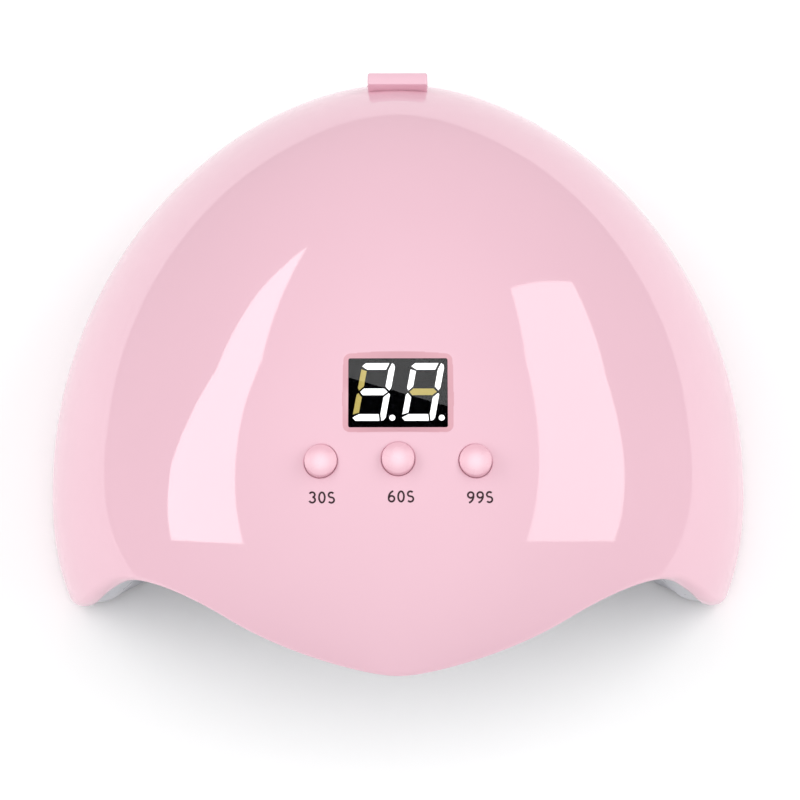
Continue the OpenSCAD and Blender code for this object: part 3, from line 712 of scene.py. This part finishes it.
def lip_side(t, e, d):
    """Edge of the mouth in side view, from the foot at 0 to the visor tip at 1."""
    angle = math.asin((HEEL_Z - BASE) / HEEL_R)
    if t < 0.2:
        turn = angle * (1 - t / 0.2)
        return LIP_Y + HEEL_R - (HEEL_R - e) * math.cos(turn), HEEL_Z - (HEEL_Z - BASE) * (1 - t / 0.2)
    if t < 0.3:
        return LIP_Y + e, HEEL_Z + (LIP_Z - LIP_CORNER_R - HEEL_Z) * (t - 0.2) / 0.1
    if t < 0.5:
        turn = math.pi / 2 * (t - 0.3) / 0.2
        r = LIP_CORNER_R + e
        return LIP_Y - LIP_CORNER_R + r * math.cos(turn), LIP_Z - LIP_CORNER_R + r * math.sin(turn)
    top = LIP_Z + e
    tip = -(CREST_LEN - d) * rise((top - BASE) / (HEIGHT - d - BASE), CREST_FRONT_N)
    corner_y = LIP_Y - LIP_CORNER_R
    return corner_y + (tip - corner_y) * math.sin(math.pi * (t - 0.5)), top


def cavity_point(y, a, g):
    k = rise((y - CAVITY_Y) / (CAVITY_LEN + g), CAVITY_PLAN_N)
    across = math.copysign(abs(math.cos(a)) ** (2 / CAVITY_ARCH_N), math.cos(a))
    return (
        (CAVITY_HALF_W + g) * k * across,
        y,
        BASE + (CAVITY_H + g - BASE) * k * max(0.0, math.sin(a)) ** (2 / CAVITY_ARCH_N),
    )


def liner_surface(grow):
    """Columns of the liner's skin from the lip over the flat rim into the hand cavity."""
    half = 48
    columns = []
    for j in range(2 * half + 1):
        side = 1 if j <= half else -1
        t = (j if j <= half else 2 * half - j) / half
        y, z = lip_side(t, LINER_RECESS + grow, LINER_EDGE)
        x = 0.0 if j == half else side * skin_x(y, z, LINER_EDGE)
        lean = math.pi / 2 * t
        y0, z0 = lip_side(t, LINER_RECESS, LINER_EDGE)
        x0 = 0.0 if j == half else side * skin_x(y0, z0, LINER_EDGE)
        rim = (
            x0 - side * LINER_RIM_W * math.cos(lean),
            y0 + LINER_RIM_W * math.sin(lean) + grow * math.cos(lean),
            z0 + grow * math.sin(lean),
        )
        a = math.pi * j / (2 * half)
        depth = [math.sin(math.radians(88.5) * i / 40) for i in range(41)]
        first = CAVITY_Y + grow * (1 - depth[0])
        start = cavity_point(first, a, grow)
        after = cavity_point(CAVITY_Y + depth[4] * CAVITY_LEN, a, grow)
        path = rounded([(x, y, z), rim, start, after], 2.2, 5)
        for s in depth[5:]:
            deeper = CAVITY_Y + grow * (1 - s) + s * (CAVITY_LEN + grow)
            path.append(Vector(cavity_point(deeper, a, grow)))
        columns.append(path)
    return columns


def build_liner(mat):
    inner, outer = liner_surface(0.0), liner_surface(LINER_T)
    rows, cols = len(inner), len(inner[0])
    verts = [metres(p) for c in inner for p in c] + [metres(p) for c in outer for p in c]
    faces = grid_faces(rows, cols)
    count = rows * cols
    faces += [tuple(count + i for i in reversed(f)) for f in grid_faces(rows, cols)]
    faces += [(i * cols, count + i * cols, count + (i + 1) * cols, (i + 1) * cols) for i in range(rows - 1)]
    for j in range(cols - 1):
        faces.append((j, j + 1, count + j + 1, count + j))
        last = (rows - 1) * cols + j
        faces.append((last, count + last, count + last + 1, last + 1))
    faces.append(tuple(i * cols + cols - 1 for i in range(rows)))
    faces.append(tuple(count + i * cols + cols - 1 for i in range(rows - 1, -1, -1)))
    obj = make_object("liner_shell", verts, faces, mat)
    tidy_mesh(obj, 1e-7, 40)
    cut_holes(obj)
    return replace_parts(obj, "inner_liner")


def led_frames():
    """The matrix of each LED, with its own z axis pointing into the cavity."""
    shift = Matrix.Translation((0, MID_Y, 0))
    out = []
    origin, tilt, spots = LED_SIDE
    turn = Matrix.Translation(origin) @ Matrix.Rotation(math.radians(-90 - tilt), 4, "Y")
    turn = turn @ Matrix.Rotation(math.pi / 2, 4, "Z")
    flip = Matrix.Diagonal((-1, 1, 1, 1))
    for x, y in spots:
        out.append(shift @ turn @ Matrix.Translation((x, y, 0)))
        out.append(flip @ shift @ turn @ Matrix.Translation((x, y, 0)))
    origin, spots = LED_TOP
    turn = Matrix.Translation(origin) @ Matrix.Rotation(math.pi, 4, "X")
    out += [shift @ turn @ Matrix.Translation((x, y, 0)) for x, y in spots]
    origin, spots = LED_REAR
    turn = Matrix.Translation(origin) @ Matrix.Rotation(math.pi / 2, 4, "X")
    out += [shift @ turn @ Matrix.Translation((x, y, 0)) for x, y in spots]
    return out


def cut_holes(obj):
    """Round holes in the liner where the lenses and the sensors look into the cavity."""
    bm = bmesh.new()
    for m in led_frames():
        place = m @ Matrix.Translation((0, 0, 10))
        bmesh.ops.create_cone(bm, cap_ends=True, segments=40, radius1=LENS_HOLE_R, radius2=LENS_HOLE_R,
                              depth=20, matrix=place)
    for s in (-1, 1):
        place = Matrix.Translation((s * SENSOR_X, SENSOR_Y + MID_Y, CAVITY_H))
        bmesh.ops.create_cone(bm, cap_ends=True, segments=32, radius1=SENSOR_HOLE_R, radius2=SENSOR_HOLE_R,
                              depth=8, matrix=place)
    bmesh.ops.transform(bm, matrix=Matrix.Diagonal((0.001, 0.001, 0.001, 1)), verts=bm.verts)
    mesh = bpy.data.meshes.new("hole_tool")
    bm.to_mesh(mesh)
    bm.free()
    tool = bpy.data.objects.new("hole_tool", mesh)
    bpy.context.scene.collection.objects.link(tool)
    cut = obj.modifiers.new("holes", "BOOLEAN")
    cut.operation = "DIFFERENCE"
    cut.solver = "EXACT"
    cut.object = tool
    dg = bpy.context.evaluated_depsgraph_get()
    done = bpy.data.meshes.new_from_object(obj.evaluated_get(dg))
    obj.modifiers.clear()
    obj.data = done
    bpy.data.objects.remove(tool)
    done.polygons.foreach_set("use_smooth", [True] * len(done.polygons))
    done.set_sharp_from_angle(angle=math.radians(35))


def build_base(mat):
    """The flat underside between the cavity and the cover."""
    front_y = lip_side(0, LINER_RECESS, LINER_EDGE)[0] + 0.05
    inset_gap = 0.05
    bottom = BASE - 0.02
    steps = 60
    outer, inner = [], []
    for k in range(steps + 1):
        a = math.pi / 2 * k / steps
        y = front_y + (BACK_LEN - LINER_EDGE - front_y) * math.sin(a)
        outer.append((plan_half(y, LINER_EDGE) if k < steps else 0.0, y))
        y = CAVITY_Y + (CAVITY_LEN + inset_gap) * math.sin(a)
        k_in = rise((y - CAVITY_Y) / (CAVITY_LEN + inset_gap), CAVITY_PLAN_N)
        inner.append(((CAVITY_HALF_W + inset_gap) * k_in, y))
    inner.insert(0, (outer[0][0] - LINER_RIM_W, front_y))
    outer.insert(1, tuple((a + b) / 2 for a, b in zip(outer[0], outer[1])))
    ring = outer + [(-x, y) for x, y in outer[-2::-1]]
    hole = inner + [(-x, y) for x, y in inner[-2::-1]]
    cols = len(ring)
    verts = []
    for z, row in [(bottom, ring), (bottom, hole), (BASE + FLANGE_T, hole), (BASE + FLANGE_T, ring)]:
        verts += [metres((x, y, z)) for x, y in row]
    faces = []
    for a, b in [(0, 1), (1, 2), (2, 3), (3, 0)]:
        faces += [(a * cols + j, a * cols + j + 1, b * cols + j + 1, b * cols + j) for j in range(cols - 1)]
    faces += [(0, cols, 2 * cols, 3 * cols), (cols - 1, 2 * cols - 1, 3 * cols - 1, 4 * cols - 1)]
    obj = make_object("liner_base", verts, faces, mat)
    tidy_mesh(obj, 1e-7, 30)
    bevel = obj.modifiers.new("edges", "BEVEL")
    bevel.width = 0.0003
    bevel.segments = 2
    bevel.limit_method = "ANGLE"
    return obj


# ---------- feet ----------

def build_feet(mat):
    """Rubber feet with a rounded rim and two fine rings underneath."""
    profile = [(0.0001, 0.25), (1.4, 0.25), (1.6, 0.0), (2.6, 0.0), (2.8, 0.25), (3.6, 0.25),
               (3.8, 0.0), (4.9, 0.0), (5.25, 0.08), (5.42, 0.25), (FOOT_R, 0.45), (FOOT_R, BASE - 0.02)]
    for name, (x, y) in zip(["left", "right", "rear_left", "rear_right"], POSTS):
        verts, faces = lathe(profile, 48)
        placed = [metres((a + x, b + y, c)) for a, b, c in verts]
        obj = make_object("foot_pad_" + name, placed, faces, mat)
        tidy_mesh(obj, 2e-7, 40)
        if name == "left":
            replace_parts(obj, "rubber_feet")


# ---------- display ----------

DIGIT_W = 6.6
DIGIT_H = 13.1
DIGIT_X = (-5.85, 6.2)
DIGIT_V = 0.4
SEGMENT_W = 1.85
SEGMENT_GAP = 0.18
POINT_R = 0.73
POINT_X = 4.45
POINT_V = -6.63
SLANT = math.tan(math.radians(10))


def segment_outlines():
    """The seven segments of an upright digit round its middle, with narrow gaps between them."""
    x, y, t = DIGIT_W / 2, DIGIT_H / 2, SEGMENT_W / 2
    left, right = -x - t, x + 0.85 * t
    left_in, right_in = -x + 0.7 * t, x - 0.9 * t
    return {
        "a": [(left_in, y - t), (x - 1.4 * t, y - t), (x - 0.8 * t, y + t), (-x, y + t), (left, y)],
        "b": [(right_in, y - t), (right_in, 1.5 * t), (x + 0.4 * t, 0.2 * t), (right, 1.2 * t),
              (right, y - 0.4 * t), (x + 0.5 * t, y + 0.6 * t), (x - 0.3 * t, y + t)],
        "c": [(right_in, -1.5 * t), (right_in, t - y), (x - 0.35 * t, -y - t), (x + 0.4 * t, -y - 0.8 * t),
              (right, -y), (right, -0.7 * t), (x + 0.4 * t, -0.2 * t)],
        "d": [(left, -y), (-x, -y - t), (x - 0.6 * t, -y - t), (x - 1.2 * t, t - y), (left_in, t - y)],
        "e": [(left, -0.8 * t), (left, 0.7 * t - y), (left_in, 1.3 * t - y), (left_in, -1.5 * t),
              (-x - 0.5 * t, -0.2 * t)],
        "f": [(left, y - 0.7 * t), (left, 1.1 * t), (-x - 0.5 * t, 0.2 * t), (left_in, 1.5 * t),
              (left_in, y - 1.25 * t)],
        "g": [(-x - 0.2 * t, 0), (left_in, -t), (x - t, -t), (x + 0.15 * t, 0), (x - t, t), (left_in, t)],
    }


def inset(points, d):
    """An outline with every side moved inwards by d. The points run anticlockwise."""
    out = []
    for before, here, after in zip(points[-1:] + points[:-1], points, points[1:] + points[:1]):
        a = (Vector(here) - Vector(before)).normalized()
        b = (Vector(after) - Vector(here)).normalized()
        side_a, side_b = Vector((-a.y, a.x)), Vector((-b.y, b.x))
        out.append(Vector(here) + (side_a + side_b) * d / (1 + side_a.dot(side_b)))
    return out


def plate(name, outline, w_low, w_high, mat):
    """A flat plate on the control panel's plane."""
    n = len(outline)
    verts = [metres(on_panel(x, v, w)) for w in (w_low, w_high) for x, v in outline]
    faces = [tuple(range(n - 1, -1, -1)), tuple(range(n, 2 * n))]
    faces += [(j, (j + 1) % n, n + (j + 1) % n, n + j) for j in range(n)]
    return make_object(name, verts, faces, mat)


def build_display(glass, face, lit, unlit):
    half_w, half_h = WINDOW_W / 2 - 0.03, WINDOW_H / 2 - 0.03
    box = [(half_w, -half_h), (half_w, half_h), (-half_w, half_h), (-half_w, -half_h)]
    pane = plate("window_pane", box, -POCKET_DEPTH - 0.75, -POCKET_DEPTH, glass)
    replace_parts(pane, "display_window")
    plate("display_face", box, -POCKET_DEPTH - 1.1, -POCKET_DEPTH - 0.9, face)
    top = -POCKET_DEPTH - 0.82
    low = -POCKET_DEPTH - 0.9
    for number, (centre, on) in enumerate(zip(DIGIT_X, ["abcdg", "abcdef"]), 1):
        for name, points in segment_outlines().items():
            outline = [(centre + x + SLANT * y, DIGIT_V + y) for x, y in inset(points, SEGMENT_GAP / 2)]
            plate(f"digit_{number}_{name}", outline, low, top, lit if name in on else unlit)
        ring = [2 * math.pi * k / 24 for k in range(24)]
        cx, cy = centre + POINT_X, DIGIT_V + POINT_V
        dot = [(cx + POINT_R * math.cos(a), cy + POINT_R * math.sin(a)) for a in ring]
        plate(f"digit_{number}_point", dot, low, top, lit)


# ---------- buttons and their labels ----------

def build_buttons(mat):
    for name, x in BUTTON_X.items():
        top = panel_skin(x, BUTTON_Y) + BUTTON_PROUD
        crown = 1.3
        r = BUTTON_R - 0.01
        radius = (r * r + crown * crown) / (2 * crown)
        edge = 0.45
        dome = [(rho, top - radius + math.sqrt(radius * radius - rho * rho))
                for rho in [0.0001, 0.5, 1.0, 1.5, 2.0, 2.5, 2.9, 3.2, 3.4]]
        bend = [(dome[-1][0], 0, dome[-1][1]), (r, 0, top - crown + 0.12), (r, 0, top - crown - 1.2)]
        under = BUTTON_FOOT - FLANGE_STEP
        foot = [(r, BUTTON_FOOT), (FLANGE_R, BUTTON_FOOT), (FLANGE_R, under), (STEM_R, under),
                (STEM_R, BUTTON_FOOT - 0.95)]
        verts, faces = lathe(dome + [(p.x, p.z) for p in rounded(bend, edge, 6)] + foot, 64)
        placed = [metres(on_panel(a + x, b + BUTTON_Y, c)) for a, b, c in verts]
        obj = make_object("cap_" + name, placed, faces, mat, "press_" + name)
        tidy_mesh(obj, 2e-7, 50)
        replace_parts(obj, "button_" + name)


def glyph(letter):
    """Strokes of a letter in a box 0.62 wide and 1 high."""
    def ring(cx, cy, rx, ry, start, end, steps=20):
        turns = [math.radians(start + (end - start) * k / steps) for k in range(steps + 1)]
        return [(cx + rx * math.cos(a), cy + ry * math.sin(a)) for a in turns]
    if letter == "0":
        return [ring(0.31, 0.5, 0.25, 0.43, 0, 360, 32)]
    if letter == "3":
        return [ring(0.28, 0.725, 0.23, 0.21, 160, -80), ring(0.28, 0.29, 0.26, 0.23, 85, -160)]
    if letter == "6":
        return [ring(0.31, 0.31, 0.25, 0.24, 0, 360, 28), ring(0.55, 0.36, 0.49, 0.60, 100, 178)]
    if letter == "9":
        return [ring(0.31, 0.69, 0.25, 0.24, 0, 360, 28), ring(0.07, 0.64, 0.49, 0.60, -80, -2)]
    return [ring(0.30, 0.72, 0.23, 0.21, 35, 240) + ring(0.30, 0.29, 0.25, 0.23, 65, -145)]


def build_labels(mat):
    stroke = 0.45
    for name, x in BUTTON_X.items():
        text = name.upper()
        width, space = 0.62 * LABEL_H, 0.2 * LABEL_H
        total = len(text) * width + (len(text) - 1) * space
        level = (panel_skin(x, LABEL_V) + panel_skin(0, LABEL_V)) / 2
        verts, faces = [], []
        for k, letter in enumerate(text):
            left = x * LABEL_SPREAD + LABEL_SHIFT - total / 2 + k * (width + space)
            for path in glyph(letter):
                pts = [Vector((left + px * LABEL_H, LABEL_V + (py - 0.5) * LABEL_H)) for px, py in path]
                first = len(verts)
                for i, p in enumerate(pts):
                    along = (pts[min(i + 1, len(pts) - 1)] - pts[max(i - 1, 0)]).normalized()
                    if (pts[0] - pts[-1]).length < 0.01 and i in (0, len(pts) - 1):
                        along = (pts[1] - pts[-2]).normalized()
                    across = Vector((-along.y, along.x)) * stroke / 2
                    for side in (-1, 1):
                        q = p + across * side
                        q.y += VIEW_LEAN * (level - panel_skin(q.x, LABEL_V))
                        verts.append(metres(on_panel(q.x, q.y, panel_skin(q.x, q.y) + 0.02)))
                for i in range(first, first + 2 * len(pts) - 2, 2):
                    faces.append((i, i + 2, i + 3, i + 1))
        obj = make_object("label_" + name, verts, faces, mat)
        tidy_mesh(obj, 1e-8, 60)


# ---------- room, camera and lights ----------

SKY_LOW = 0.42
SKY_HIGH = 1.05
SOFTBOX_LEFT = 4.4
SOFTBOX_RIGHT = 3.4
CARD_Z = 1.2
VIEW_UP = math.radians(66)
TARGET = Vector((0, MID_Y, 30)) / 1000
EYE = TARGET + Vector((0, -math.cos(VIEW_UP), math.sin(VIEW_UP))) * 0.7


def place_camera():
    data = bpy.data.cameras.new("camera")
    data.sensor_width = 36
    data.lens = 120.7
    cam = bpy.data.objects.new("camera", data)
    bpy.context.scene.collection.objects.link(cam)
    bpy.context.scene.camera = cam
    cam.location = EYE
    aim = TARGET + Vector((0.00052, math.sin(VIEW_UP) * 0.00728, math.cos(VIEW_UP) * 0.00728))
    cam.rotation_mode = "QUATERNION"
    cam.rotation_quaternion = (aim - EYE).to_track_quat("-Z", "Y")


def glow_panel(name, verts, strength):
    """A flat panel that only lights, or only shows in reflections."""
    mesh = bpy.data.meshes.new(name)
    mesh.from_pydata([tuple(v) for v in verts], [], [tuple(range(len(verts)))])
    obj = bpy.data.objects.new(name, mesh)
    bpy.context.scene.collection.objects.link(obj)
    mat = bpy.data.materials.new(name)
    mat.use_nodes = True
    tree = mat.node_tree
    tree.nodes.remove(tree.nodes["Principled BSDF"])
    glow = tree.nodes.new("ShaderNodeEmission")
    glow.inputs["Strength"].default_value = strength
    tree.links.new(glow.outputs["Emission"], tree.nodes["Material Output"].inputs["Surface"])
    mesh.materials.append(mat)
    obj.visible_camera = False
    obj.visible_shadow = False
    return obj


def softbox(name, directions, strength, distance=1.4):
    """A soft light given by the directions of its corners from the lamp."""
    centre = Vector((0, 0, 0.06))
    return glow_panel(name, [centre + Vector(c).normalized() * distance for c in directions], strength)


def build_gloss_card():
    """A dark card overhead, seen only as the black lower part of the gloss on the window."""
    normal = Vector((0, -math.sin(PANEL_TILT), math.cos(PANEL_TILT)))
    verts = []
    for x, v in [(-20, 6.4), (20, -5.8), (20, -14), (-20, -14)]:
        point = metres(on_panel(x, v, -POCKET_DEPTH))
        ray = point - EYE
        ray -= 2 * ray.dot(normal) * normal
        verts.append(point + ray * (CARD_Z - point.z) / ray.z)
    card = glow_panel("gloss_card", verts, 0.0)
    card.visible_diffuse = False


def build_room():
    mesh = bpy.data.meshes.new("floor")
    mesh.from_pydata([(-0.33, -0.6, 0), (0.33, -0.6, 0), (0.33, 0.9, 0), (-0.33, 0.9, 0)], [], [(0, 1, 2, 3)])
    floor = bpy.data.objects.new("floor", mesh)
    bpy.context.scene.collection.objects.link(floor)
    mat, shader = new_material("pale_floor", (0.95, 0.95, 0.95), 0.8)
    add_noise(mat, shader, 20, 0.75, 0.85)
    mesh.materials.append(mat)
    world = bpy.data.worlds.new("studio")
    world.use_nodes = True
    tree = world.node_tree
    sky = tree.nodes["Background"]
    sky.inputs["Color"].default_value = (1, 1, 1, 1)
    coord = tree.nodes.new("ShaderNodeTexCoord")
    toward = tree.nodes.new("ShaderNodeVectorMath")
    toward.operation = "DOT_PRODUCT"
    toward.inputs[1].default_value = (0, -0.37, 0.93)
    fade = tree.nodes.new("ShaderNodeMapRange")
    fade.interpolation_type = "SMOOTHSTEP"
    fade.inputs["From Min"].default_value = 0.15
    fade.inputs["From Max"].default_value = 1.0
    fade.inputs["To Min"].default_value = SKY_LOW
    fade.inputs["To Max"].default_value = SKY_HIGH
    tree.links.new(coord.outputs["Generated"], toward.inputs[0])
    tree.links.new(toward.outputs["Value"], fade.inputs["Value"])
    tree.links.new(fade.outputs["Result"], sky.inputs["Strength"])
    bpy.context.scene.world = world
    bpy.context.scene.view_settings.view_transform = "Standard"
    softbox("soft_left", [(-0.94, -0.30, 0.23), (-0.93, 0.05, 0.35), (-0.60, 0.58, 0.55),
                          (-0.41, 0.69, 0.59), (-0.70, 0.20, 0.68), (-0.71, -0.45, 0.54)], SOFTBOX_LEFT)
    softbox("soft_right", [(0.51, 0.58, 0.64), (0.70, 0.62, 0.36), (0.90, -0.33, 0.28),
                           (0.61, -0.47, 0.63)], SOFTBOX_RIGHT)
    build_gloss_card()


# ---------- the whole lamp ----------

def finish_cad_nodes(materials):
    """Gives every CAD node that stays in view its material."""
    for entry in frame["record"]["subparts"]:
        node = frame["nodes"][entry["node"]]
        if node.hide_render:
            continue
        node.data.materials.clear()
        node.data.materials.append(materials[entry["material_slot"]])
        node.data.polygons.foreach_set("use_smooth", [True] * len(node.data.polygons))
        node.data.set_sharp_from_angle(angle=math.radians(35))


def main():
    place_camera()
    pink = cover_plastic("glossy_pink_plastic", PINK)
    # pocket wall material: darker pink as painted shade, with a rougher finish
    bezel = cover_plastic("bezel_pink_painted_shade", SHADED_POCKET_PINK, 0.12, 0.2)
    grey = liner_plastic()
    rubber = plain("foot_rubber", (0.05, 0.05, 0.055), 0.6, 0.8, 500, 0.2)
    cap = cap_plastic()
    ink = plain("label_ink", (0.03, 0.008, 0.014), 0.6, 0.8, 900, 0.05)
    face = dull_black()
    lit = segment_plastic("lit_segment", (0.9, 0.9, 0.88), (1.0, 1.0, 0.98), 1.6)
    # unlit segments glow faintly: painted light standing in for the light the window glass keeps from them
    unlit = segment_plastic("unlit_segment_painted_light", (0.48, 0.40, 0.12), (0.515, 0.413, 0.102), 0.95)
    build_cover(pink, bezel)
    build_inlet(pink)
    build_liner(grey)
    build_base(grey)
    build_feet(rubber)
    build_display(window_glass(), face, lit, unlit)
    build_buttons(cap)
    build_labels(ink)
    materials = {
        "cover_pink": pink,
        "liner_grey": grey,
        "window_black": face,
        "display_case": plain("display_case", (0.07, 0.07, 0.075), 0.4, 0.6),
        "board_green": plain("green_board", (0.02, 0.16, 0.06), 0.3, 0.5, 500),
        "board_white": plain("white_board", (0.80, 0.80, 0.78), 0.35, 0.5, 500),
        "chip_black": plain("chip_black", (0.02, 0.02, 0.022), 0.45, 0.65, 800),
        "capacitor_sleeve": plain("capacitor_sleeve", (0.02, 0.03, 0.12), 0.25, 0.4, 400),
        "inductor_core": plain("inductor_core", (0.09, 0.07, 0.06), 0.6, 0.8, 700, 0.2),
        "connector_ivory": plain("connector_ivory", (0.80, 0.76, 0.66), 0.4, 0.55),
        "plunger_ivory": plain("plunger_ivory", (0.70, 0.66, 0.56), 0.4, 0.55),
        "steel": plain("brushed_steel", (0.62, 0.62, 0.64), 0.22, 0.38, 300, 0.1, 1.0, (1, 1, 12)),
        "led_yellow": plain("led_phosphor", (0.85, 0.68, 0.12), 0.4, 0.6, 900),
        "lens_clear": clear_lens(),
        "tag_brass": plain("tag_brass", (0.75, 0.55, 0.22), 0.25, 0.4, 300, 0.1, 1.0),
        "lead_red": plain("lead_red", (0.50, 0.03, 0.03), 0.4, 0.55),
        "lead_black": plain("lead_black", (0.02, 0.02, 0.02), 0.4, 0.55),
        "lead_white": plain("lead_white", (0.75, 0.75, 0.73), 0.4, 0.55),
        "lead_grey": plain("lead_grey", (0.30, 0.30, 0.32), 0.4, 0.55),
        "foot_rubber": rubber,
    }
    finish_cad_nodes(materials)
    build_room()


main()
